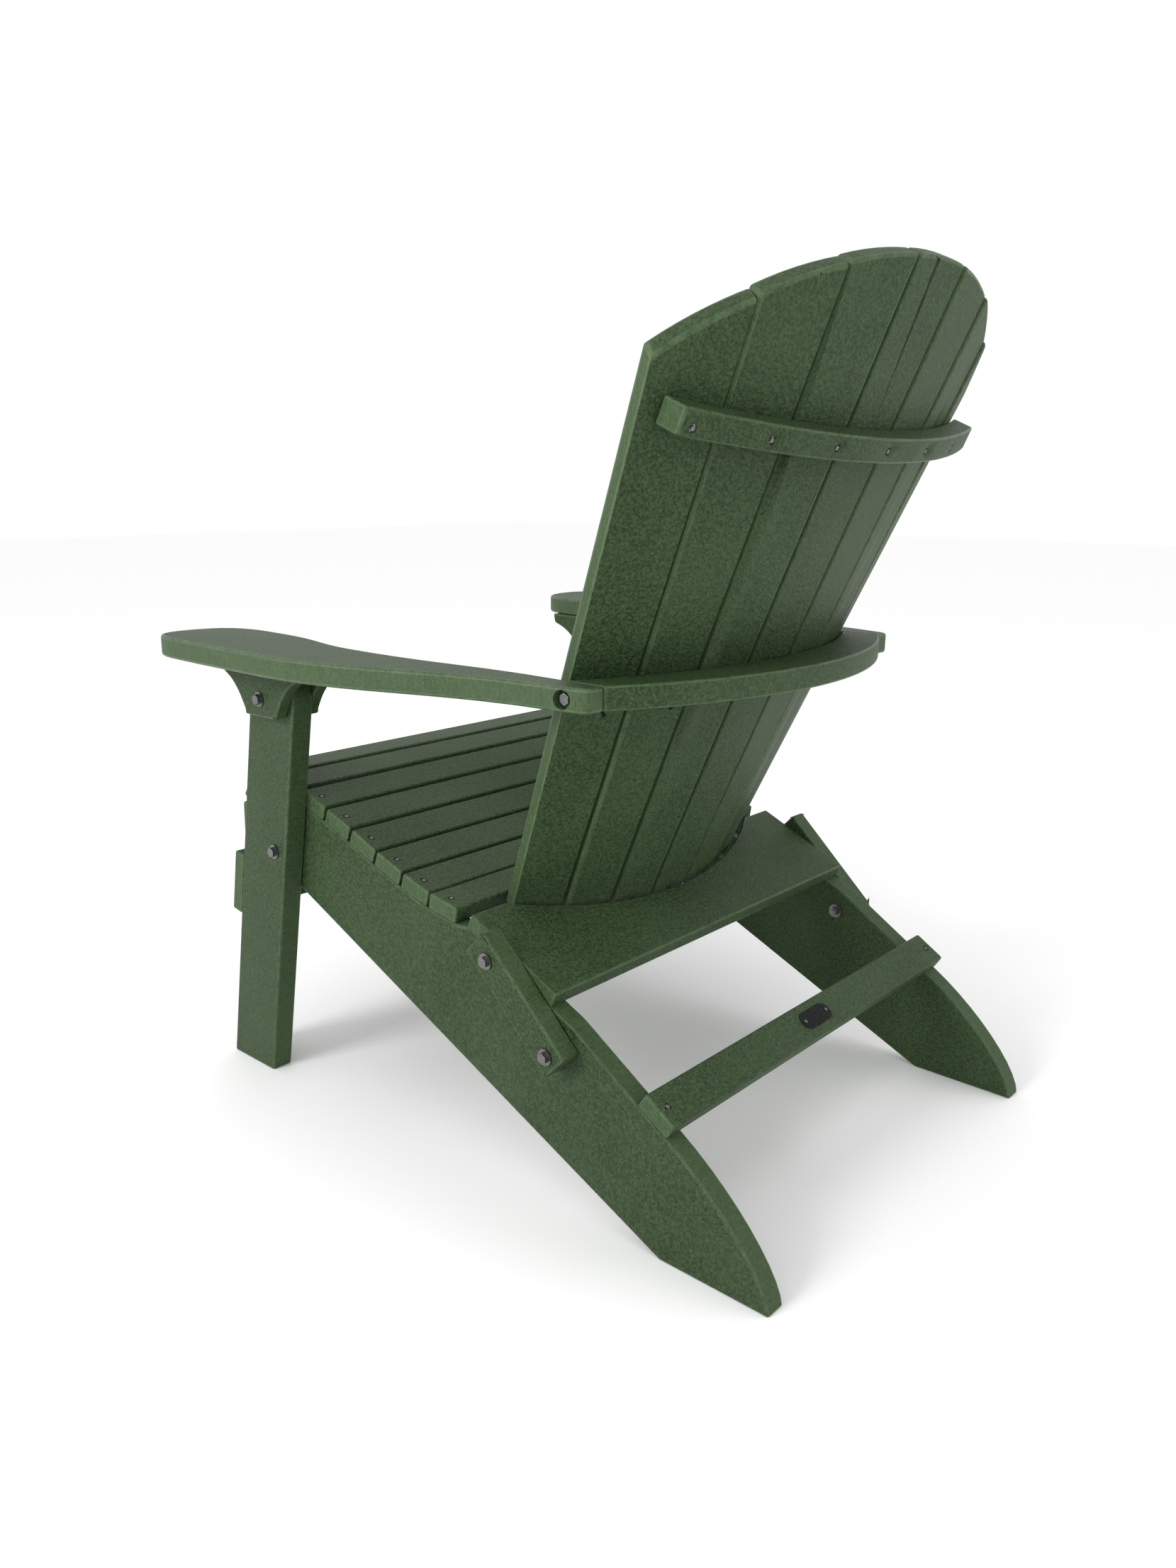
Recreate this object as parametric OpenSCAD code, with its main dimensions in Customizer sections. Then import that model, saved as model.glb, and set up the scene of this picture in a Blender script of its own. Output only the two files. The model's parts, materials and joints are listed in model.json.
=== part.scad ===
// Folding garden chair with a low sloping seat, broad arms and a fanned back.
// The chair faces -Y, +Z is up, and its left side (the sitter's left) is +X.
// The origin is on the floor, at the middle of the footprint.

/* [Overall] */
// Outside width over the two seat rails
frame_w = 570; // [480:5:690]
// Depth on the floor, from the front of the feet to the tips of the tails
frame_d = 840; // [740:5:960]
// Height of the arm tops above the floor at their rear pivots
arm_h = 565; // [545:5:640]
// Backward lean of the back
recline = 24; // [20:0.5:28]

/* [Boards] */
// Thickness of the seat rails, the arms and the links
plank_t = 25; // [20:0.5:30]
// Thickness of the front legs
leg_t = 28; // [22:0.5:34]
// Thickness of the seat slats, the back slats and the apron
slat_t = 19; // [16:0.5:23]
// Thickness of the arm brackets
bracket_t = 16; // [12:0.5:20]
// Radius of the eased edges of the slats
edge_r = 3; // [1:0.5:5]

/* [Seat] */
// Width of one seat slat
seat_slat_w = 45; // [38:0.5:52]
// Gap between two seat slats
seat_gap = 4.2; // [3:0.1:8]
// Distance from the front of the feet to the front of the first seat slat
seat_front_y = 45.43; // [30:1:50]
// Height of the underside of the last seat slat at its back edge
seat_back_h = 281.5; // [270:0.5:300]
// Width of the nose slat
nose_w = 32.5; // [28:0.5:40]

/* [Back] */
// Distance between two back slats where they stand on the lower crosspiece
back_pitch = 66.5; // [56:0.5:70]
// Gap between two back slats
back_gap = 5; // [3:0.5:8]
// Height of the middle slat above the lower crosspiece
back_len = 743; // [620:5:860]
// Radius of the fanned top edge
crown_r = 386; // [376:5:600]
// Radius of the curve that the slats stand on
back_r = 449; // [420:5:600]
// Sideways lean that each slat adds to the one before it
fan_step = 2.0; // [1.5:0.05:2.2]

/* [Legs and arms] */
// Width of a front leg
leg_w = 87; // [75:1:100]
// Backward lean of the front legs
leg_lean = 10.5; // [6:0.5:14]
// Height of the leg pivots above the floor
leg_pivot_h = 312; // [300:1:316]
// Distance of the leg pivot behind the middle line of the leg
leg_pivot_back = 22; // [15:1:28]
// Gap between the round top of a front leg and the arm above it
leg_top_gap = 0.8; // [0.4:0.1:20]
// Width of the broad front of an arm
arm_w = 118; // [100:1:130]
// Upward tilt of the arms towards the front
arm_tilt = 0.8; // [0:0.1:1.5]

/* [Fasteners] */
// Diameter of the pivot bolts
bolt_d = 8; // [6:0.5:10]
// Diameter of the washers
washer_d = 18; // [16:0.5:22]
// Shank diameter of the wood screws
screw_d = 4.5; // [3.5:0.1:5.5]

/* [Hidden] */

back_count = 7;      // back slats, one node each
round_fn = 48;       // circles that stay true curves
bend_n = 10;         // points along one curved stretch of an outline
skin = 0.25;         // gap that keeps two parts of different bodies apart
fit = 0.05;          // radial clearance of a pivot bolt in its bore
screw_fit = 0.05;    // radial gap around a screw in its board
green = [0.16, 0.27, 0.15];
steel = [0.72, 0.72, 0.74];
black = [0.05, 0.05, 0.05];

// ---- Side view: points are [distance behind the front of the feet, height] ----
y_mid = frame_d / 2;
rail_x = frame_w / 2;                       // outer face of a seat rail
leg_x = rail_x + 2 * skin;                  // inner face of a front leg
leg_out = leg_x + leg_t;                    // outer face of a front leg

function along(angle) = [cos(angle), sin(angle)];
// Points of a cubic curve from p0 to p3, without p0 itself
function bezier(p0, p1, p2, p3, n = bend_n) = [
    for (i = [1:n])
        let (t = i / n, s = 1 - t)
        s * s * s * p0 + 3 * s * s * t * p1 + 3 * s * t * t * p2 + t * t * t * p3];

// Seat slats, from the last one forward: rise of each slat's underside towards the front
seat_rise = [9, 16.5, 19, 21, 20, 18, 11, 2];
function toward_front(angle) = [-cos(angle), sin(angle)];
function sum_to(v, i) = i < 0 ? 0 : v[i] + sum_to(v, i - 1);
slat_runs = [for (angle = seat_rise) seat_slat_w * cos(angle)];
gap_runs = [for (i = [1:7]) seat_gap * cos((seat_rise[i] + seat_rise[i - 1]) / 2)];
seat_back_y = seat_front_y + sum_to(slat_runs, 7) + sum_to(gap_runs, 6);
function slat_back(i) = i == 0 ? [seat_back_y, seat_back_h]
    : slat_front(i - 1) + seat_gap * toward_front((seat_rise[i] + seat_rise[i - 1]) / 2);
function slat_front(i) = slat_back(i) + seat_slat_w * toward_front(seat_rise[i]);

nose_angle = 57;                            // slope of the nose slat
nose_step = [7.2, -5.6];                    // its upper edge from the front of the first seat slat
front_tilt = 88;                            // slope of the front rail slat
front_step = [-0.9, -0.5];                  // its upper edge from the lower edge of the nose slat
nose_top = slat_front(7) + nose_step;
nose_low = nose_top - nose_w * along(nose_angle);
front_top = nose_low + front_step;
front_low = front_top - seat_slat_w * along(front_tilt);

// Back frame: its origin is on the lower crosspiece, behind the middle slat
back_behind_seat = 78.8;
back_y = seat_back_y + back_behind_seat;
back_z = 275.3;
function back_point(d, u) = [back_y + d * cos(recline) + u * sin(recline),
                             back_z - d * sin(recline) + u * cos(recline)];
cross_t = 18;                               // thickness of the lower crosspiece
cross_front = -58;                          // its front and back edges in the back frame
cross_back = 79;
notch_back = 108;                           // back end of the seat that it rests on
notch_u = -cross_t - skin;

// Tail of the seat rail
foot_len = 129.5;
bar_w = 43;                                 // width of the rear bar
bar_slope = 32;
notch_end = back_point(notch_back, notch_u);
bar_slope_len = 150;                        // straight top of the tail, from the notch to the bend
bar_back = notch_end + bar_slope_len * along(-bar_slope);
tail_tip = [frame_d, 0];
tail_run = frame_d - bar_back[0];
tail_curve = bezier(bar_back, bar_back + tail_run / 2 * [1, -tan(bar_slope)],
                    tail_tip + [-tail_run / 40, 35], tail_tip);
rail_line = concat(
    [front_low, front_top, nose_low, nose_top],
    [for (i = [7:-1:0]) each [slat_front(i), slat_back(i)]],
    [back_point(cross_front - 2, notch_u), notch_end, bar_back],
    tail_curve,
    [[frame_d - foot_len, 0]]);

// Pivots
leg_foot_mid = leg_w / cos(leg_lean) / 2;
function leg_axis(h) = [leg_foot_mid + h * tan(leg_lean), h];
leg_pivot = leg_axis(leg_pivot_h) + leg_pivot_back * [cos(leg_lean), -sin(leg_lean)];
link_upper = back_point(0, -cross_t / 2);
link_lower = [back_y + 81.2, 187];
arm_mid_h = arm_h - plank_t / 2;
// The plane of the back at the middle height of the arms, measured at the middle slat
back_at_arm = back_y + (arm_mid_h - back_z) * tan(recline);
arm_pivot = [back_at_arm - 34.2, arm_mid_h];

// The round top of a leg stays its gap below the sloping underside of the arm
bracket_pivot_h = (arm_pivot[1] - plank_t / 2 / cos(arm_tilt) - leg_w / 2 - leg_top_gap
    + (arm_pivot[0] - leg_foot_mid) * tan(arm_tilt)) / (1 + tan(leg_lean) * tan(arm_tilt));
bracket_pivot = leg_axis(bracket_pivot_h);

// Arm underside at a distance behind the front of the feet
function arm_under(y) = arm_pivot[1] - plank_t / 2 / cos(arm_tilt)
    + (arm_pivot[0] - y) * tan(arm_tilt);

// ---- Placing ----
module side_plate(x, t) {
    translate([x, -y_mid, 0]) rotate([90, 0, 90]) linear_extrude(t) children();
}
module at(p, x = 0) {
    translate([x, p[0] - y_mid, p[1]]) children();
}
module to_right() {
    mirror([1, 0, 0]) children();
}
module both() {
    children();
    to_right() children();
}
module back_frame() {
    translate([0, back_y - y_mid, back_z]) rotate([-recline, 0, 0]) children();
}

// ---- Fasteners ----
head_af = 11;                               // across flats of bolt heads and nuts
head_h = 4.5;
nut_h = 6;
washer_t = 1.6;
screw_head_d = 8;
screw_head_h = 4.5;
sink = 1.8;                                 // depth of the screw heads below the surface
screw_len = 42;
shank_past = 9;                             // length of a pivot bolt past its rail
crosspiece_reach = 50;                      // depth of a bolt in the end of a crosspiece

module pin(d, x0, x1) {
    translate([x0, 0, 0]) rotate([0, 90, 0]) cylinder(d = d, h = x1 - x0, $fn = round_fn);
}
module hex(x0, h) {
    translate([x0, 0, 0]) rotate([0, 90, 0]) cylinder(d = head_af / cos(30), h = h, $fn = 6);
}
// Head and washer outside x_face, shank from x_end to x_face
module bolt(x_face, x_end) {
    pin(washer_d, x_face, x_face + washer_t);
    hex(x_face + washer_t, head_h);
    pin(bolt_d, x_end, x_face + washer_t / 2);
}
// Nut and washer inside x_face, around the end of a shank
module nut(x_face) {
    difference() {
        union() {
            pin(washer_d, x_face - washer_t, x_face);
            hex(x_face - washer_t - nut_h, nut_h);
        }
        pin(bolt_d + 2 * fit, x_face - washer_t - nut_h - 1, x_face + 1);
    }
}
module bolt_bore(x0, x1) {
    pin(bolt_d + 2 * fit, x0, x1);
}
// Screw along -Z from a surface at z = 0. With grow it is the hole for the screw, open at the top.
module screw(len, grow = 0) {
    top = grow > 0 ? 1 : -sink;
    translate([0, 0, -screw_head_h - grow])
        cylinder(d = screw_head_d + 2 * grow, h = top + screw_head_h + grow, $fn = round_fn);
    translate([0, 0, -len - grow])
        cylinder(d = screw_d + 2 * grow, h = len, $fn = round_fn);
}

// ---- Boards ----
module eased_rect(w, t, r = edge_r) {
    translate([r, 0]) square([w - 2 * r, t]);
    translate([0, r]) square([w, t - 2 * r]);
    for (x = [r, w - r], y = [r, t - r]) translate([x, y]) circle(r, $fn = 24);
}
// Board across the chair, its underside on the line from p towards angle
module cross_board(p, angle, w, half_len) {
    at(p) rotate([angle, 0, 0]) rotate([90, 0, 90])
        translate([0, 0, -half_len]) linear_extrude(2 * half_len) eased_rect(w, slat_t);
}

// ---- Seat frame ----
module rail_plate() {
    color(green) difference() {
        side_plate(rail_x - plank_t, plank_t) polygon(rail_line);
        at(leg_pivot) bolt_bore(rail_x - plank_t - 1, rail_x + 1);
        at(link_lower) bolt_bore(rail_x - plank_t - 1, rail_x + 1);
        all_seat_screws(screw_fit);
        rail_screws(screw_fit);
    }
}
screw_x = rail_x - plank_t / 2;
module over_slat(p, angle, w) {
    at(p) rotate([angle, 0, 0]) translate([0, w / 2, slat_t]) children();
}
module left_rail_screw(grow) {
    translate([screw_x, 0, 0]) screw(screw_len, grow);
}
module left_seat_screws(grow = 0) {
    for (i = [0:7])
        over_slat(slat_front(i), -seat_rise[i], seat_slat_w) left_rail_screw(grow);
    over_slat(nose_low, nose_angle, nose_w) left_rail_screw(grow);
    over_slat(front_low, front_tilt, seat_slat_w) left_rail_screw(grow);
}
module all_seat_screws(grow = 0) {
    both() left_seat_screws(grow);
}
module seat_slat(i) {
    color(green) difference() {
        cross_board(slat_front(i), -seat_rise[i], seat_slat_w, rail_x);
        all_seat_screws(screw_fit);
    }
}
module nose_slat() {
    color(green) difference() {
        cross_board(nose_low, nose_angle, nose_w, rail_x);
        all_seat_screws(screw_fit);
    }
}
module front_rail_slat() {
    color(green) difference() {
        cross_board(front_low, front_tilt, seat_slat_w, rail_x);
        all_seat_screws(screw_fit);
    }
}
bar_setback = 1.5;
bar_front = bar_back - (bar_w + bar_setback) * along(-bar_slope);
module rear_bar() {
    color(green) difference() {
        cross_board(bar_front, -bar_slope, bar_w, rail_x);
        rail_screws(screw_fit);
        badge_plate_solid(screw_fit);
        badge_rivets_solid(screw_fit);
    }
}
module on_bar() {
    over_slat(bar_front, -bar_slope, bar_w) children();
}
module rail_screws(grow = 0) {
    both() on_bar() left_rail_screw(grow);
}
badge_l = 55;
badge_w = 22;
badge_t = 1.2;
badge_sink = 0.4;                           // depth that the plate lies in the bar
rivet_d = 2.4;
rivet_head_d = 4;
rivet_head_h = 0.8;
rivet_depth = 6;
module badge_plate_solid(grow = 0) {
    r = badge_w / 2 + grow;
    straight = badge_l - badge_w;
    on_bar() translate([0, 0, -badge_sink - grow]) linear_extrude(badge_t + grow) {
        square([straight, 2 * r], center = true);
        for (s = [-1, 1])
            translate([s * straight / 2, 0]) circle(r, $fn = round_fn);
    }
}
module badge_rivets_solid(grow = 0) {
    plate_top = rivet_depth + badge_t - badge_sink;
    on_bar() for (s = [-1, 1]) translate([s * (badge_l / 2 - 6), 0, -rivet_depth]) {
        cylinder(d = rivet_d + 2 * grow, h = plate_top + 0.2, $fn = round_fn);
        if (grow == 0)
            translate([0, 0, plate_top]) cylinder(d = rivet_head_d, h = rivet_head_h, $fn = round_fn);
    }
}
module badge_plate() {
    color(black) difference() {
        badge_plate_solid();
        badge_rivets_solid(screw_fit);
    }
}
module badge_rivets() {
    color(steel) badge_rivets_solid();
}
module seat_screws() {
    color(steel) all_seat_screws();
}
module rail_end_screws() {
    color(steel) rail_screws();
}
module leg_pivot_bolts() {
    color(steel) both() at(leg_pivot) bolt(leg_out + skin, rail_x - plank_t - shank_past);
}
module leg_pivot_nuts() {
    color(steel) both() at(leg_pivot) nut(rail_x - plank_t);
}
link_out = leg_x + plank_t;
module link_lower_bolts() {
    color(steel) both() at(link_lower) bolt(link_out + skin, rail_x - plank_t - shank_past);
}
module link_lower_nuts() {
    color(steel) both() at(link_lower) nut(rail_x - plank_t);
}

// ---- Front legs ----
leg_r = leg_w / 2;
module leg_outline() {
    side = [cos(leg_lean), -sin(leg_lean)];
    foot_back = [2 * leg_foot_mid, 0];
    polygon([[0, 0], foot_back, bracket_pivot + leg_r * side, bracket_pivot - leg_r * side]);
    translate(bracket_pivot) circle(leg_r, $fn = round_fn);
}
sleeve_d = 14;
module left_leg() {
    color(green) difference() {
        side_plate(leg_x, leg_t) leg_outline();
        at(leg_pivot) bolt_bore(leg_x - 1, leg_out + 1);
        at(bracket_pivot) pin(sleeve_d + 2 * screw_fit, leg_x - 1, leg_out + 1);
        left_apron_screws(screw_fit);
    }
}
apron_w = 83;
apron_low = 206;                            // height of the lower back edge of the apron
apron_edge = [apron_low * tan(leg_lean), apron_low];
apron_screw_in = 20;                        // distance of its screws from its long edges
module apron_place() {
    at(apron_edge) rotate([90 - leg_lean, 0, 0]) children();
}
module front_apron() {
    color(green) difference() {
        apron_place() rotate([90, 0, 90]) translate([0, 0, -leg_out])
            linear_extrude(2 * leg_out) eased_rect(apron_w, slat_t);
        both() left_apron_screws(screw_fit);
    }
}
module left_apron_screws(grow = 0) {
    apron_place() for (w = [apron_screw_in, apron_w - apron_screw_in])
        translate([leg_x + leg_t / 2, w, slat_t]) screw(screw_len + 8, grow);
}
module apron_screws() {
    color(steel) both() left_apron_screws();
}
// Middle of the bracket pivot, fixed in the leg. The bolt ends meet its two faces.
module bracket_sleeves() {
    color(steel) both() at(bracket_pivot) pin(sleeve_d, leg_x + skin / 2, leg_out - skin / 2);
}

// ---- Arms ----
module arm_frame() {
    at(arm_pivot) rotate([-arm_tilt, 0, 0]) translate([0, y_mid - arm_pivot[0], 0]) children();
}
cross_x = rail_x - 21;                      // end faces of the arm crosspiece
arm_in = cross_x + 2 * skin;                // inner face of the narrow back of an arm
arm_heel_w = 32;                            // width of that narrow back
arm_end = arm_pivot[0] + 28;                // back end of the arms and of the crosspiece ends
arm_front = 3;                              // front end of the arms
arm_straight = 71;                          // length of the straight inner edge at the back
palm_in = arm_in + 7.5;                     // inner edge of the broad front
palm_out = palm_in + arm_w;                 // outer edge of the broad front
waist_in = palm_in + 17;                    // inner edge where it swings outward
waist_y = 262;
palm_y = 118;                               // broadest place of the inner edge
heel_y = arm_end - 41;                      // where the outer edge meets the heel
module arm_outline() {
    polygon(concat(
        [[arm_in, arm_end], [arm_in, arm_end - arm_straight]],
        bezier([arm_in, arm_end - arm_straight], [arm_in, waist_y + 178], [waist_in, waist_y + 138],
               [waist_in, waist_y]),
        bezier([waist_in, waist_y], [waist_in, waist_y - 57], [palm_in, palm_y + 67], [palm_in, palm_y]),
        bezier([palm_in, palm_y], [palm_in, palm_y / 2], [palm_in - 4, arm_front],
               [palm_in + 75, arm_front]),
        bezier([palm_in + 75, arm_front], [palm_out - 10, arm_front], [palm_out, arm_front + 17],
               [palm_out, palm_y / 2]),
        bezier([palm_out, palm_y / 2], [palm_out + 1, palm_y + 12], [palm_out - 1, waist_y - 82],
               [palm_out - 2, waist_y - 27]),
        bezier([palm_out - 2, waist_y - 27], [palm_out - 6, waist_y + 108], [palm_out - 78, heel_y - 145],
               [arm_in + arm_heel_w, heel_y]),
        bezier([arm_in + arm_heel_w, heel_y], [arm_in + arm_heel_w - 5, arm_end - 14],
               [arm_in + arm_heel_w - 4, arm_end], [arm_in + arm_heel_w / 2, arm_end])));
}
counterbore_d = washer_d + 1;
counterbore_x = arm_in + 20;                // floor of the counterbore
module left_arm_solid() {
    color(green) difference() {
        arm_frame() translate([0, -y_mid, -plank_t / 2]) linear_extrude(plank_t) arm_outline();
        at(arm_pivot) bolt_bore(arm_in - 1, counterbore_x + 1);
        at(arm_pivot) pin(counterbore_d, counterbore_x, arm_in + 2 * arm_heel_w);
        left_bracket_screws_solid(screw_fit);
    }
}
bracket_h = 66;
bracket_foot = 31;                          // half width at the bottom
bracket_tip = 90;                           // half width at the top
// Outline around the bracket pivot: broad rounded tips, hollow flanks and a narrow foot
module bracket_outline() {
    top = arm_under(bracket_pivot[0]) - bracket_pivot[1];
    tip = [bracket_tip, top + 5];
    flank_top = [bracket_tip - 13, top - 16];
    flank_low = [bracket_foot + 2, top - bracket_h + 8];
    foot = [bracket_foot - 8, top - bracket_h];
    half = concat(
        [tip],
        bezier(tip, [bracket_tip, top - 8], [bracket_tip - 3, top - 14], flank_top, 5),
        bezier(flank_top, [bracket_tip - 40, top - 26], [bracket_foot + 9, top - 46], flank_low),
        bezier(flank_low, flank_low - [1, 8], foot + [5, 0], foot, 4));
    polygon(concat(half, [for (i = [len(half) - 1:-1:0]) [-half[i][0], half[i][1]]]));
}
module bracket(x) {
    color(green) difference() {
        side_plate(x, bracket_t) translate(bracket_pivot) bracket_outline();
        arm_frame() translate([0, -y_mid, -plank_t / 2]) cube([frame_w, frame_d, 2 * plank_t]);
        at(bracket_pivot) bolt_bore(x - 1, x + bracket_t + 1);
        left_bracket_screws_solid(screw_fit);
    }
}
outer_bracket_x = leg_out + skin;
inner_bracket_x = leg_x - skin - bracket_t;
bracket_screw_y = 18;                       // distance of its screws from the pivot
bracket_screw_up = 17;                      // depth that the screws reach into the arm
module left_bracket_screws_solid(grow = 0) {
    foot_z = arm_under(bracket_pivot[0]) - bracket_h;
    for (x = [outer_bracket_x, inner_bracket_x], y = [-bracket_screw_y, bracket_screw_y])
        translate([x + bracket_t / 2, bracket_pivot[0] + y - y_mid, foot_z])
            rotate([180, 0, 0]) screw(bracket_h + bracket_screw_up, grow);
}
module left_bracket_screws() {
    color(steel) left_bracket_screws_solid();
}
module left_bracket_bolt_solid() {
    color(steel) at(bracket_pivot) bolt(outer_bracket_x + bracket_t, outer_bracket_x);
}
module left_bracket_nut_solid() {
    color(steel) at(bracket_pivot) {
        pin(washer_d, inner_bracket_x - washer_t, inner_bracket_x);
        hex(inner_bracket_x - washer_t - nut_h, nut_h);
        pin(bolt_d, inner_bracket_x - washer_t, inner_bracket_x + bracket_t);
    }
}

// ---- Back ----
mid_slat = (back_count + 1) / 2;
fan_angle = back_pitch / back_r * 180 / PI; // turn between two slats on the lower curve
yaw_step = fan_angle * 0.85;                // turn between two slat faces, less than along the curve
function slat_x(i, u) = back_r * sin(i * fan_angle) + u * tan(i * fan_step);
function slat_d(i) = -back_r * (1 - cos(i * fan_angle));
outer_slat = (back_count - 1) / 2;
// Radius of the curve through the slat backs at height u
function curve_r(u) =
    (pow(slat_x(outer_slat, u), 2) + pow(slat_d(outer_slat), 2)) / 2 / -slat_d(outer_slat);
function pitch_at(u) = back_pitch + u * tan(fan_step);
slat_low = -cross_t;
slat_high = back_len + 20;
module slat_place(i) {
    translate([slat_x(i, 0), slat_d(i), 0]) rotate([0, i * fan_step, 0]) rotate([0, 0, -i * yaw_step])
        children();
}
module slat_blank(i) {
    low = (pitch_at(slat_low) - back_gap) / 2;
    high = (pitch_at(slat_high) - back_gap) / 2;
    slat_place(i) rotate([90, 0, 0]) linear_extrude(slat_t)
        polygon([[-low, slat_low], [low, slat_low], [high, slat_high], [-high, slat_high]]);
}
module crown() {
    translate([0, crown_r, back_len - crown_r]) rotate([90, 0, 0])
        cylinder(r = crown_r, h = 2 * crown_r, $fn = 180);
    translate([-crown_r, -crown_r, slat_low])
        cube([2 * crown_r, 2 * crown_r, back_len - crown_r - slat_low]);
}
module back_slat(n) {
    i = mid_slat - n;
    color(green) back_frame() difference() {
        intersection() {
            slat_blank(i);
            crown();
        }
        lower_back_screw(i, screw_fit);
        arm_level_screw(i, screw_fit);
        top_rail_screw(i, screw_fit);
    }
}
arc_gap = 3.5;                              // space for the flat slats inside a round edge
module fan_cylinder(u0, u1, r) {
    translate([0, -curve_r((u0 + u1) / 2), u0]) cylinder(r = r, h = u1 - u0, $fn = 240);
}
rail_u0 = 553;
rail_u1 = 579;
rail_depth = 24;
rail_bevel = 20;                            // slant of the ends of the top rail
rail_over = 0.28;                           // its reach past the outer slats, in slat distances
module top_rail() {
    middle_r = curve_r((rail_u0 + rail_u1) / 2);
    r = middle_r + arc_gap;
    reach = asin((slat_x(outer_slat, rail_u0) + rail_over * pitch_at(rail_u0)) / r);
    cut_h = rail_u1 - rail_u0 + 2;
    color(green) back_frame() difference() {
        fan_cylinder(rail_u0, rail_u1, r + rail_depth);
        translate([0, 0, -1]) fan_cylinder(rail_u0, rail_u1 + 2, r);
        for (s = [-1, 1])
            translate([0, -middle_r, rail_u0 - 1])
            rotate([0, 0, -s * reach]) translate([0, r, 0]) rotate([0, 0, s * rail_bevel])
            translate([s > 0 ? 0 : -3 * r, -3 * r, 0]) cube([3 * r, 4 * r, cut_h]);
        translate([-2 * r, -4 * r, rail_u0 - 1]) cube([4 * r, 3 * r, cut_h]);
        every_slat_screw(screw_fit);
    }
}
module lower_crosspiece() {
    color(green) difference() {
        back_frame() translate([-rail_x, cross_front, -cross_t])
            cube([frame_w, cross_back - cross_front, cross_t]);
        back_frame() translate([0, 0, -1]) fan_cylinder(-cross_t, 2, curve_r(0) + arc_gap);
        back_frame() every_slat_screw(screw_fit);
        both() at(link_upper) pin(bolt_d + 2 * screw_fit, rail_x - crosspiece_reach - 1, rail_x + 1);
    }
}
cross_rear_r = 505;                         // radius of the back edge of the arm crosspiece
cross_end_w = 61;                           // width of its ends
module arm_crosspiece() {
    u = (arm_h - back_z) / cos(recline);
    sag = cross_rear_r - sqrt(cross_rear_r * cross_rear_r - cross_x * cross_x);
    under = arm_h - plank_t;
    color(green) difference() {
        intersection() {
            translate([-cross_x, arm_end - cross_end_w - y_mid, under])
                cube([2 * cross_x, cross_end_w + sag, plank_t]);
            translate([0, arm_end + sag - cross_rear_r - y_mid, under])
                cylinder(r = cross_rear_r, h = plank_t, $fn = 240);
        }
        back_frame() translate([0, -curve_r(u), u - 80])
            cylinder(r = curve_r(u) + arc_gap, h = 160, $fn = 240);
        back_frame() every_slat_screw(screw_fit);
        both() at(arm_pivot) pin(bolt_d + 2 * screw_fit, cross_x - crosspiece_reach - 1, cross_x + 1);
    }
}
arm_level_u = (arm_mid_h - back_z) / cos(recline);
back_screw_len = 45;
module from_front(i, u) {
    slat_place(i) translate([0, -slat_t, u]) rotate([90, 0, 0]) children();
}
module lower_back_screw(i, grow = 0) {
    from_front(i, -cross_t / 2) screw(back_screw_len, grow);
}
// These follow the level crosspiece, so they stand at an angle to their slats
module arm_level_screw(i, grow = 0) {
    from_front(i, arm_level_u + slat_d(i) * tan(recline)) rotate([-recline, 0, 0])
        screw(back_screw_len, grow);
}
module top_rail_screw(i, grow = 0) {
    slat_place(i) translate([0, rail_depth + arc_gap, (rail_u0 + rail_u1) / 2]) rotate([-90, 0, 0])
        screw(rail_depth + 12, grow);
}
module each_slat() {
    for ($i = [-outer_slat:outer_slat])
        children();
}
module every_slat_screw(grow) {
    each_slat() lower_back_screw($i, grow);
    each_slat() arm_level_screw($i, grow);
    each_slat() top_rail_screw($i, grow);
}
module top_rail_screws() {
    color(steel) back_frame() each_slat() top_rail_screw($i);
}
module arm_level_screws() {
    color(steel) back_frame() each_slat() arm_level_screw($i);
}
module lower_back_screws() {
    color(steel) back_frame() each_slat() lower_back_screw($i);
}
module arm_pivot_bolts() {
    color(steel) both() at(arm_pivot) bolt(counterbore_x + skin, cross_x - crosspiece_reach);
}
module link_upper_bolts() {
    color(steel) both() at(link_upper) bolt(link_out + skin, rail_x - crosspiece_reach);
}

// ---- Links ----
link_w = 38;
link_over = 25;                             // length beyond the upper bolt
link_under = 16;                            // length beyond the lower bolt
module left_link_solid() {
    span = link_lower - link_upper;
    color(green) difference() {
        at(link_upper, leg_x) rotate([atan2(span[1], span[0]), 0, 0]) rotate([90, 0, 90])
            linear_extrude(plank_t)
            translate([-link_over, -link_w / 2]) eased_rect(norm(span) + link_over + link_under, link_w);
        at(link_upper) bolt_bore(leg_x - 1, link_out + 1);
        at(link_lower) bolt_bore(leg_x - 1, link_out + 1);
    }
}

rail_plate();  // left_seat_rail
to_right() rail_plate();  // right_seat_rail
seat_slat(7);  // seat_slat_1
seat_slat(6);  // seat_slat_2
seat_slat(5);  // seat_slat_3
seat_slat(4);  // seat_slat_4
seat_slat(3);  // seat_slat_5
seat_slat(2);  // seat_slat_6
seat_slat(1);  // seat_slat_7
seat_slat(0);  // seat_slat_8
nose_slat();
front_rail_slat();
rear_bar();
badge_plate();
badge_rivets();
seat_screws();
rail_end_screws();
leg_pivot_bolts();
leg_pivot_nuts();
link_lower_bolts();
link_lower_nuts();
left_leg();  // left_front_leg
to_right() left_leg();  // right_front_leg
front_apron();
apron_screws();
bracket_sleeves();
left_arm_solid();  // left_arm
to_right() left_arm_solid();  // right_arm
bracket(outer_bracket_x);  // left_outer_bracket
bracket(inner_bracket_x);  // left_inner_bracket
to_right() bracket(outer_bracket_x);  // right_outer_bracket
to_right() bracket(inner_bracket_x);  // right_inner_bracket
left_bracket_bolt_solid();  // left_bracket_bolt
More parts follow.
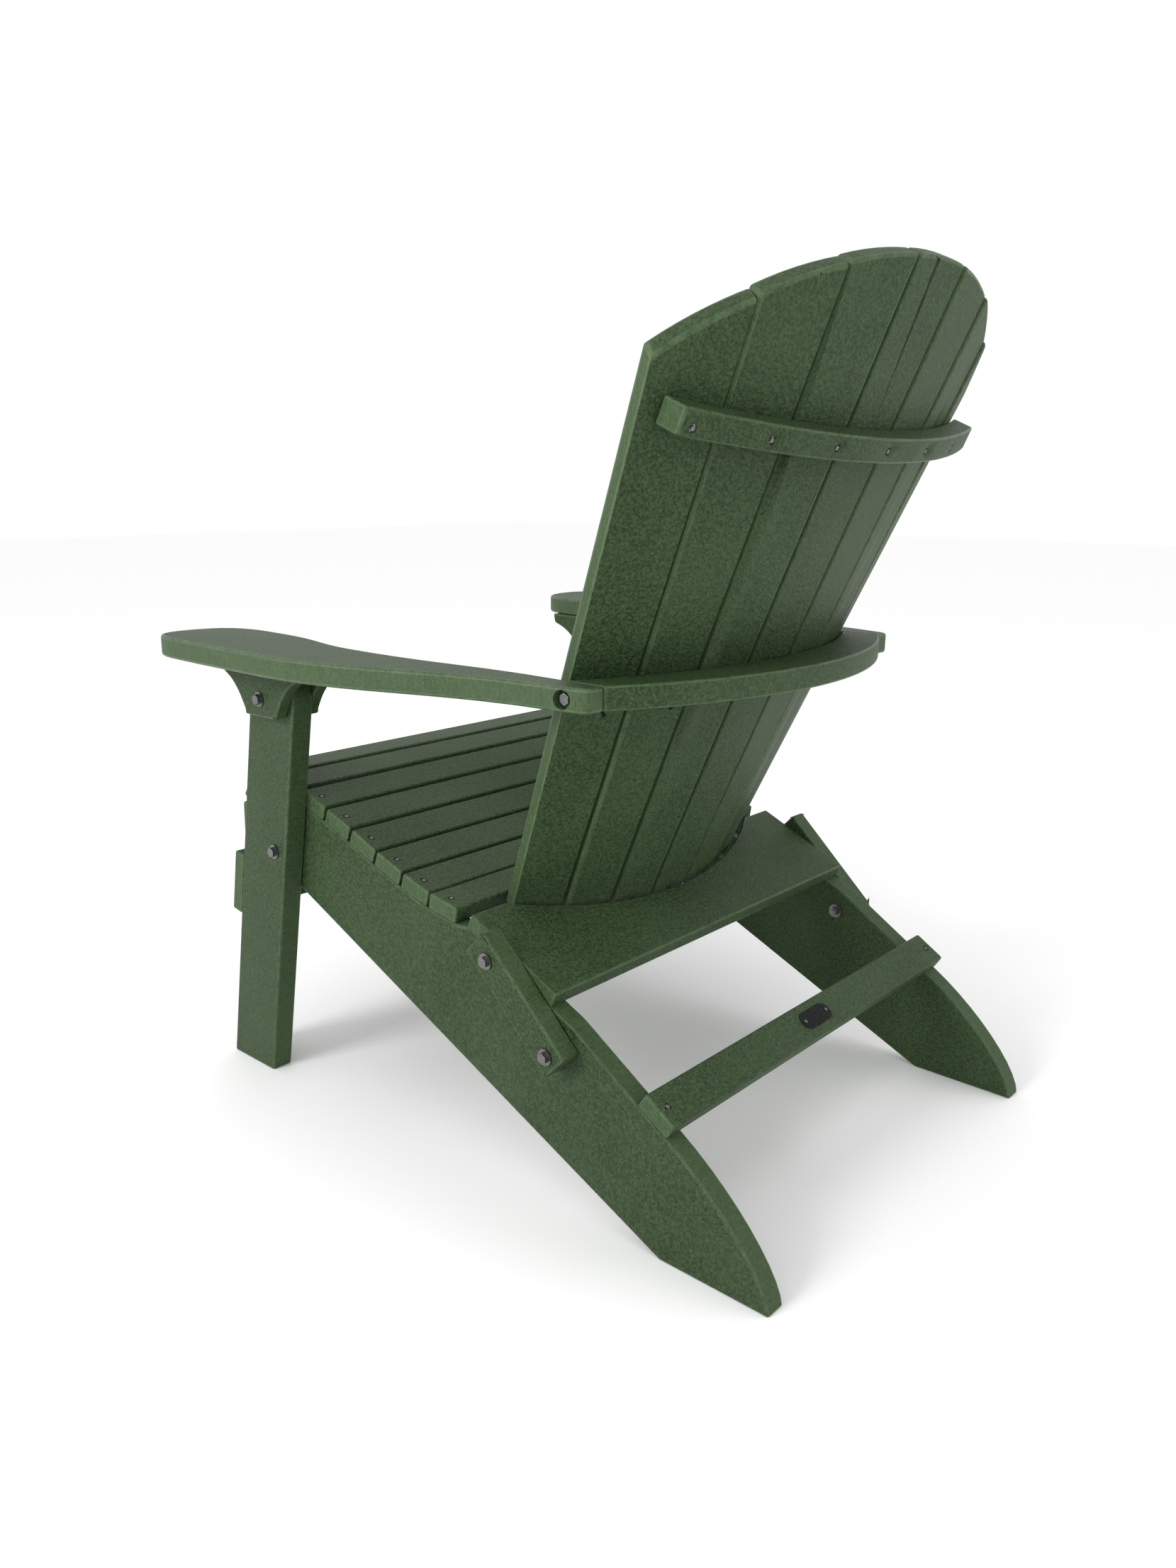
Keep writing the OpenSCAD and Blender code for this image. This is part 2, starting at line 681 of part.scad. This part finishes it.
to_right() left_bracket_bolt_solid();  // right_bracket_bolt
left_bracket_nut_solid();  // left_bracket_nut
to_right() left_bracket_nut_solid();  // right_bracket_nut
left_bracket_screws();
to_right() left_bracket_screws();  // right_bracket_screws
back_slat(1);  // back_slat_1
back_slat(2);  // back_slat_2
back_slat(3);  // back_slat_3
back_slat(4);  // back_slat_4
back_slat(5);  // back_slat_5
back_slat(6);  // back_slat_6
back_slat(7);  // back_slat_7
lower_crosspiece();
arm_crosspiece();
top_rail();
top_rail_screws();
arm_level_screws();
lower_back_screws();
arm_pivot_bolts();
link_upper_bolts();
left_link_solid();  // left_link
to_right() left_link_solid();  // right_link
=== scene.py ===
"""Looks for the folding garden chair: green plastic lumber, stainless steel, a blank label."""
import json
import math

import bpy
from mathutils import Matrix, Vector


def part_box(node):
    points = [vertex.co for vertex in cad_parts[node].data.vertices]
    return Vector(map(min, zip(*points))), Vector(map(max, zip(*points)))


MM = 0.001

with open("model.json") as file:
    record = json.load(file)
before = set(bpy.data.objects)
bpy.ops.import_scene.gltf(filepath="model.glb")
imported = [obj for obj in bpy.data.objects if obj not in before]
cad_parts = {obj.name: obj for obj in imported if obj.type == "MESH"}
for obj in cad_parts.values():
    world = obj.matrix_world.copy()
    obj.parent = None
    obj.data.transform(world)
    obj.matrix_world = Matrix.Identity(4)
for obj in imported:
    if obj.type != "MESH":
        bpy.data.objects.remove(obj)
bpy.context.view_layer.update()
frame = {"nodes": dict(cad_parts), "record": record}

# ---- Camera ----------------------------------------------------------------------------------
CAMERA_PLACE = Vector((1.1098, 0.9261, 0.7561))
CAMERA_HEADING = math.radians(131.60)     # about +Z, from looking along +Y
CAMERA_TILT = math.radians(14.38)         # below the horizon
CAMERA_ROLL = math.radians(0.21)
LENS_MM = 27.5
SENSOR_MM = 36.0                          # along the long side of the picture


def make_camera():
    data = bpy.data.cameras.new("camera")
    data.lens = LENS_MM
    data.sensor_width = SENSOR_MM
    data.sensor_fit = "AUTO"
    data.clip_start, data.clip_end = 0.01, 100
    camera = bpy.data.objects.new("camera", data)
    bpy.context.scene.collection.objects.link(camera)
    turn = (
        Matrix.Rotation(CAMERA_HEADING, 4, "Z")
        @ Matrix.Rotation(math.pi / 2 - CAMERA_TILT, 4, "X")
        @ Matrix.Rotation(CAMERA_ROLL, 4, "Z")
    )
    camera.matrix_world = Matrix.Translation(CAMERA_PLACE) @ turn
    bpy.context.scene.camera = camera


# ---- Node materials --------------------------------------------------------------------------
class Nodes:
    """Short calls for building one material's node tree."""

    def __init__(self, name):
        self.material = bpy.data.materials.new(name)
        self.material.use_nodes = True
        self.tree = self.material.node_tree
        self.tree.nodes.clear()
        self.shader = self.tree.nodes.new("ShaderNodeBsdfPrincipled")
        output = self.tree.nodes.new("ShaderNodeOutputMaterial")
        self.link(self.shader.outputs[0], output.inputs["Surface"])
        self.place = self.tree.nodes.new("ShaderNodeTexCoord").outputs["Object"]

    def link(self, source, target):
        self.tree.links.new(source, target)

    def put(self, value, socket):
        if isinstance(value, bpy.types.NodeSocket):
            self.link(value, socket)
        else:
            socket.default_value = value

    def set(self, **values):
        for name, value in values.items():
            self.shader.inputs[name.replace("_", " ")].default_value = value

    def math(self, operation, a, b=0.0):
        node = self.tree.nodes.new("ShaderNodeMath")
        node.operation = operation
        self.put(a, node.inputs[0])
        self.put(b, node.inputs[1])
        return node.outputs[0]

    def stretch(self, scale):
        node = self.tree.nodes.new("ShaderNodeMapping")
        self.link(self.place, node.inputs["Vector"])
        node.inputs["Scale"].default_value = scale
        return node.outputs[0]

    def noise(self, scale, detail=2.0, roughness=0.5, place=None, distortion=0.0):
        node = self.tree.nodes.new("ShaderNodeTexNoise")
        self.link(place or self.place, node.inputs["Vector"])
        node.inputs["Scale"].default_value = scale
        node.inputs["Detail"].default_value = detail
        node.inputs["Roughness"].default_value = roughness
        node.inputs["Distortion"].default_value = distortion
        return node.outputs["Fac"]

    def voronoi(self, scale):
        """Distance to the nearest of many scattered points."""
        node = self.tree.nodes.new("ShaderNodeTexVoronoi")
        self.link(self.place, node.inputs["Vector"])
        node.inputs["Scale"].default_value = scale
        return node.outputs["Distance"]

    def span(self, value, low, high, to_low=0.0, to_high=1.0):
        """Maps low..high to to_low..to_high, and stays within them."""
        node = self.tree.nodes.new("ShaderNodeMapRange")
        self.put(value, node.inputs["Value"])
        for name, number in (("From Min", low), ("From Max", high),
                             ("To Min", to_low), ("To Max", to_high)):
            self.put(number, node.inputs[name])
        return node.outputs[0]

    def mix(self, factor, a, b):
        node = self.tree.nodes.new("ShaderNodeMix")
        node.data_type = "RGBA"
        self.put(factor, node.inputs[0])
        self.put(a, node.inputs[6])
        self.put(b, node.inputs[7])
        return node.outputs[2]

    def bump(self, height, strength, distance, before=None):
        """A bumped normal, on top of the one before."""
        node = self.tree.nodes.new("ShaderNodeBump")
        node.inputs["Strength"].default_value = strength
        node.inputs["Distance"].default_value = distance
        self.link(height, node.inputs["Height"])
        if before is not None:
            self.link(before, node.inputs["Normal"])
        return node.outputs[0]

    def face_axis(self, axis):
        """How far the surface faces along an object axis, 0 to 1, either way."""
        geometry = self.tree.nodes.new("ShaderNodeNewGeometry")
        to_object = self.tree.nodes.new("ShaderNodeVectorTransform")
        to_object.vector_type = "NORMAL"
        to_object.convert_from, to_object.convert_to = "WORLD", "OBJECT"
        self.link(geometry.outputs["Normal"], to_object.inputs[0])
        dot = self.tree.nodes.new("ShaderNodeVectorMath")
        dot.operation = "DOT_PRODUCT"
        self.link(to_object.outputs[0], dot.inputs[0])
        dot.inputs[1].default_value = axis
        return self.math("ABSOLUTE", dot.outputs["Value"])


# ---- Plastic lumber --------------------------------------------------------------------------
GREEN = (0.038, 0.074, 0.024, 1)
GREEN_DARK = (0.015, 0.032, 0.009, 1)
GREEN_PALE = (0.085, 0.135, 0.064, 1)
DUST = (0.30, 0.33, 0.28, 1)

# How fine each pattern is, in repeats per metre
CLOUDS = 7
DUSTY_PLACES = 14
# scale of the pale patches, painted highlight that also stands for wear
RUBBED_AND_HIGHLIGHT_PLACES = 70
DUST_SPECKS = 95
MOTTLE = 300
PEBBLES = 300
PORES = 420
GRIT = 1100
SAW_LINES = 900                           # across the saw lines
BOARD_SAW_RUN = 45                        # along them, on the ends of a board
PLATE_SAW_RUN = 60                        # along them, on the edge of a plate

# Depth of the surface patterns
PEBBLE_DEPTH = 2.3 * MM
SAW_DEPTH = 0.35 * MM
GRIT_DEPTH = 0.2 * MM


def sawn_faces(n, axis, around):
    """1 on faces that look along the axis, or with around on those that look away from it."""
    facing = n.face_axis(axis)
    return n.span(facing, 0.55, 0.35) if around else n.span(facing, 0.75, 0.87)


def saw_lines(n, axis, around):
    """Fine lines that run up the ends of a board, or straight through the edges of a plate."""
    if around:
        scale = tuple(PLATE_SAW_RUN if part else SAW_LINES for part in axis)
    else:
        scale = (SAW_LINES, SAW_LINES, BOARD_SAW_RUN)
    return n.noise(1.0, 2, 0.5, n.stretch(scale))


def lumber(name, axis=(1, 0, 0), around=False, tone=1.0, sheen=0.22, wear_and_highlight=0.0):
    """Through-coloured plastic board: leathery skin, mottled colour, pale eased edges (painted
    highlight, partly wear) and sawn faces.

    axis and around say which faces are sawn, tone scales the colour (below 1 it is painted
    shade), and the wear amount is how much of the surface is painted pale as a highlight that
    also stands for wear, and made smoother.
    """
    n = Nodes(name)
    # tone below 1 darkens the colour as painted shade
    green, dark, pale = (tuple(part * tone for part in colour[:3]) + (1,)
                         for colour in (GREEN, GREEN_DARK, GREEN_PALE))
    mottle = n.noise(MOTTLE, 2, 0.55, distortion=0.5)
    cut = sawn_faces(n, axis, around)
    streaks = saw_lines(n, axis, around)

    colour = n.mix(n.span(mottle, 0.40, 0.59), dark, green)
    colour = n.mix(n.span(n.noise(PORES, 2, 0.6), 0.52, 0.72, 0.0, 0.50), colour, pale)
    colour = n.mix(n.span(n.noise(CLOUDS, 3, 0.55), 0.38, 0.72, 0.0, 0.20), colour, pale)
    cut_colour = n.mix(n.span(streaks, 0.30, 0.70), green, pale)
    colour = n.mix(n.math("MULTIPLY", cut, 0.42), colour, cut_colour)
    # pale rubbed patches: painted highlight along the eased edges, partly also wear
    if wear_and_highlight:
        rubbed_and_highlight = n.span(n.noise(RUBBED_AND_HIGHLIGHT_PLACES, 4, 0.65), 0.32, 0.62, 0.25 * wear_and_highlight, wear_and_highlight)
        colour = n.mix(rubbed_and_highlight, colour, pale)
    specks = n.span(n.voronoi(DUST_SPECKS), 0.045, 0.02, 0.0, 0.55)
    dusty = n.span(n.noise(DUSTY_PLACES, 2), 0.45, 0.6)
    colour = n.mix(n.math("MULTIPLY", specks, dusty), colour, DUST)
    n.link(colour, n.shader.inputs["Base Color"])

    smoother = 0.24 * wear_and_highlight
    rough = n.span(mottle, 0.3, 0.7, 0.44 - smoother, 0.60 - smoother)
    n.link(n.math("ADD", rough, n.math("MULTIPLY", cut, 0.06)), n.shader.inputs["Roughness"])

    pebbles = n.noise(PEBBLES, 3, 0.6, distortion=0.8)
    fewer_where_cut = n.span(cut, 0, 1, 1.0, 0.4)
    skin = n.bump(n.math("MULTIPLY", pebbles, fewer_where_cut), 1.0, PEBBLE_DEPTH)
    skin = n.bump(n.math("MULTIPLY", streaks, cut), 0.5, SAW_DEPTH, skin)
    skin = n.bump(n.noise(GRIT, 2, 0.5), 0.25, GRIT_DEPTH, skin)
    n.link(skin, n.shader.inputs["Normal"])
    n.set(Specular_IOR_Level=sheen)
    return n.material


# ---- Fasteners and label ---------------------------------------------------------------------
# steel colours kept dark as painted shade of heads sunk in their bores
STEEL_SHADED_DARK = (0.09, 0.09, 0.09, 1)
STEEL_SHADED_PALE = (0.24, 0.24, 0.235, 1)
BLACK = (0.008, 0.008, 0.008, 1)
BLACK_PALE = (0.016, 0.016, 0.017, 1)


def steel(name):
    """Stainless steel, darkened as painted shade of heads sunk in their bores, of uneven tone
    and gloss.
    """
    n = Nodes(name)
    tone = n.span(n.noise(900, 2, 0.5), 0.3, 0.7)
    n.link(n.mix(tone, STEEL_SHADED_DARK, STEEL_SHADED_PALE), n.shader.inputs["Base Color"])
    n.link(n.span(n.noise(400, 3, 0.6), 0.3, 0.7, 0.22, 0.42), n.shader.inputs["Roughness"])
    n.set(Metallic=1.0)
    return n.material


def badge(name):
    """Black lacquered plate."""
    n = Nodes(name)
    tone = n.span(n.noise(300, 2), 0.3, 0.7)
    n.link(n.mix(tone, BLACK, BLACK_PALE), n.shader.inputs["Base Color"])
    n.link(n.span(n.noise(150, 3), 0.3, 0.7, 0.18, 0.32), n.shader.inputs["Roughness"])
    n.set(Specular_IOR_Level=0.06)
    return n.material


# ---- Dressing the CAD nodes ------------------------------------------------------------------
GRID = 0.01 * MM                          # points closer than this are one point
TOUCH = 0.1 * MM                          # an outline comes this near to the board's box
HOLE_SIZE = 26 * MM                       # rims up to this size are bores and stay sharp
SHARP = math.cos(math.radians(35))        # of the angle between the two faces
FLAT = math.radians(0.5)
EDGE_STEPS = 3
ARM_EDGE = 3.5 * MM
BACK_SLAT_EDGE = 3.5 * MM
PLATE_EDGE = 2.5 * MM
BOARD_EDGE = 2.2 * MM


def sharp_pairs(mesh, spot):
    """The edges where two faces meet at more than 35 degrees, each as its two grid points."""
    sides = {}
    for face in mesh.polygons:
        corners = [spot[i] for i in face.vertices]
        for pair in zip(corners, corners[1:] + corners[:1]):
            sides.setdefault(frozenset(pair), []).append(face.normal)
    return [pair for pair, normals in sides.items()
            if len(pair) == 2 and len(normals) == 2 and normals[0].dot(normals[1]) < SHARP]


def joined(pairs):
    """The groups of points that the pairs join together."""
    leader = {}

    def first(point):
        while leader.setdefault(point, point) != point:
            leader[point] = leader[leader[point]]
            point = leader[point]
        return point

    for a, b in pairs:
        leader[first(a)] = first(b)
    groups = {}
    for pair in pairs:
        for point in pair:
            groups.setdefault(first(point), set()).add(point)
    return groups.values()


def mark_outline(piece, low, high):
    """Gives the outline edges of a board a bevel weight of 1, and the rims of its bores none."""
    mesh = piece.data
    spot = [tuple(round(part / GRID) for part in v.co) for v in mesh.vertices]
    sharp = sharp_pairs(mesh, spot)
    outline = set()
    for points in joined(sharp):
        bottom = [min(p[k] for p in points) * GRID for k in range(3)]
        top = [max(p[k] for p in points) * GRID for k in range(3)]
        wide = max(t - b for t, b in zip(top, bottom)) > HOLE_SIZE
        outer = any(abs(bottom[k] - low[k]) < TOUCH or abs(top[k] - high[k]) < TOUCH
                    for k in range(3))
        if wide and outer:
            outline |= points
    wanted = {pair for pair in sharp if pair <= outline}
    weight = mesh.attributes.new("bevel_weight_edge", "FLOAT", "EDGE")
    for edge in mesh.edges:
        pair = frozenset(spot[i] for i in edge.vertices)
        weight.data[edge.index].value = 1.0 if pair in wanted else 0.0


def finish_in(node, material):
    """A node in one material, as it comes from the CAD."""
    piece = frame["nodes"][node]
    piece.data.materials.clear()
    piece.data.materials.append(material)
    return piece


def finish_board(node, face, edge, width, merge=True):
    """A board in its material, its outline eased to width and the eased edges in their own,
    whose pale colour is painted highlight and wear.

    merge makes whole faces of the triangles first, which keeps wide eased edges clean.
    """
    piece = finish_in(node, face)
    piece.data.materials.append(edge)
    mark_outline(piece, *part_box(node))
    weld = piece.modifiers.new("weld", "WELD")
    weld.merge_threshold = GRID
    if merge:
        whole = piece.modifiers.new("whole faces", "DECIMATE")
        whole.decimate_type, whole.angle_limit = "DISSOLVE", FLAT
    eased = piece.modifiers.new("eased edges", "BEVEL")
    eased.width, eased.segments, eased.material = width, EDGE_STEPS, 1
    eased.limit_method = "WEIGHT"
    eased.use_clamp_overlap = False
    eased.harden_normals = True


def dress_all():
    kinds = {
        "board": {},
        # plates and arms are the same plastic as the boards, toned down as painted shade
        "plate": dict(around=True, tone=0.9),
        "arm": dict(axis=(0, 0, 1), around=True, tone=0.98, sheen=0.32),
    }
    # each edge material is painted pale as highlight along the eased edges, partly also wear
    looks = {kind: (lumber(kind + " face", **look), lumber(kind + " edge", wear_and_highlight=0.7, **look))
             for kind, look in kinds.items()}
    metal = steel("stainless")
    black = badge("label black")
    for row in frame["record"]["subparts"]:
        node, slot = row["node"], row["material_slot"]
        if slot == "fastener_steel":
            finish_in(node, metal)
        elif slot == "badge_black":
            finish_in(node, black)
        elif slot == "arm_lumber":
            finish_board(node, *looks["arm"], ARM_EDGE)
        elif node.endswith(("link", "bracket")):
            finish_board(node, *looks["plate"], PLATE_EDGE, merge=False)
        elif node.endswith(("seat_rail", "front_leg")):
            finish_board(node, *looks["plate"], PLATE_EDGE)
        elif node.startswith("back_slat"):
            finish_board(node, *looks["board"], BACK_SLAT_EDGE)
        else:
            finish_board(node, *looks["board"], BOARD_EDGE)


# ---- Studio ----------------------------------------------------------------------------------
FLOOR_HALF = 14                           # metres from the chair to the edge of the floor
CHAIR_MIDDLE = (0, 0, 0.45)


def make_floor():
    mesh = bpy.data.meshes.new("floor")
    corners = [(x * FLOOR_HALF, y * FLOOR_HALF, 0)
               for x, y in ((-1, -1), (1, -1), (1, 1), (-1, 1))]
    mesh.from_pydata(corners, [], [(0, 1, 2, 3)])
    floor = bpy.data.objects.new("floor", mesh)
    bpy.context.scene.collection.objects.link(floor)
    n = Nodes("pale floor")
    n.set(Base_Color=(0.97, 0.97, 0.97, 1), Roughness=0.95)
    mesh.materials.append(n.material)


def make_light(name, place, size, power):
    """A round soft light that faces the chair."""
    data = bpy.data.lights.new(name, "AREA")
    data.shape, data.size, data.energy = "DISK", size, power
    lamp = bpy.data.objects.new(name, data)
    lamp.location = place
    aim = Vector(CHAIR_MIDDLE) - Vector(place)
    lamp.rotation_euler = aim.to_track_quat("-Z", "Y").to_euler()
    bpy.context.scene.collection.objects.link(lamp)


def make_world():
    world = bpy.data.worlds.new("studio")
    world.use_nodes = True
    background = world.node_tree.nodes["Background"]
    background.inputs["Color"].default_value = (1, 1, 1, 1)
    background.inputs["Strength"].default_value = 1.0
    bpy.context.scene.world = world


make_camera()
bpy.context.scene.view_settings.view_transform = "Standard"
dress_all()
make_floor()
make_world()
make_light("key", (3.2, -0.6, 1.9), size=1.3, power=62)
make_light("fill", (-1.2, 3.0, 1.6), size=2.5, power=15)
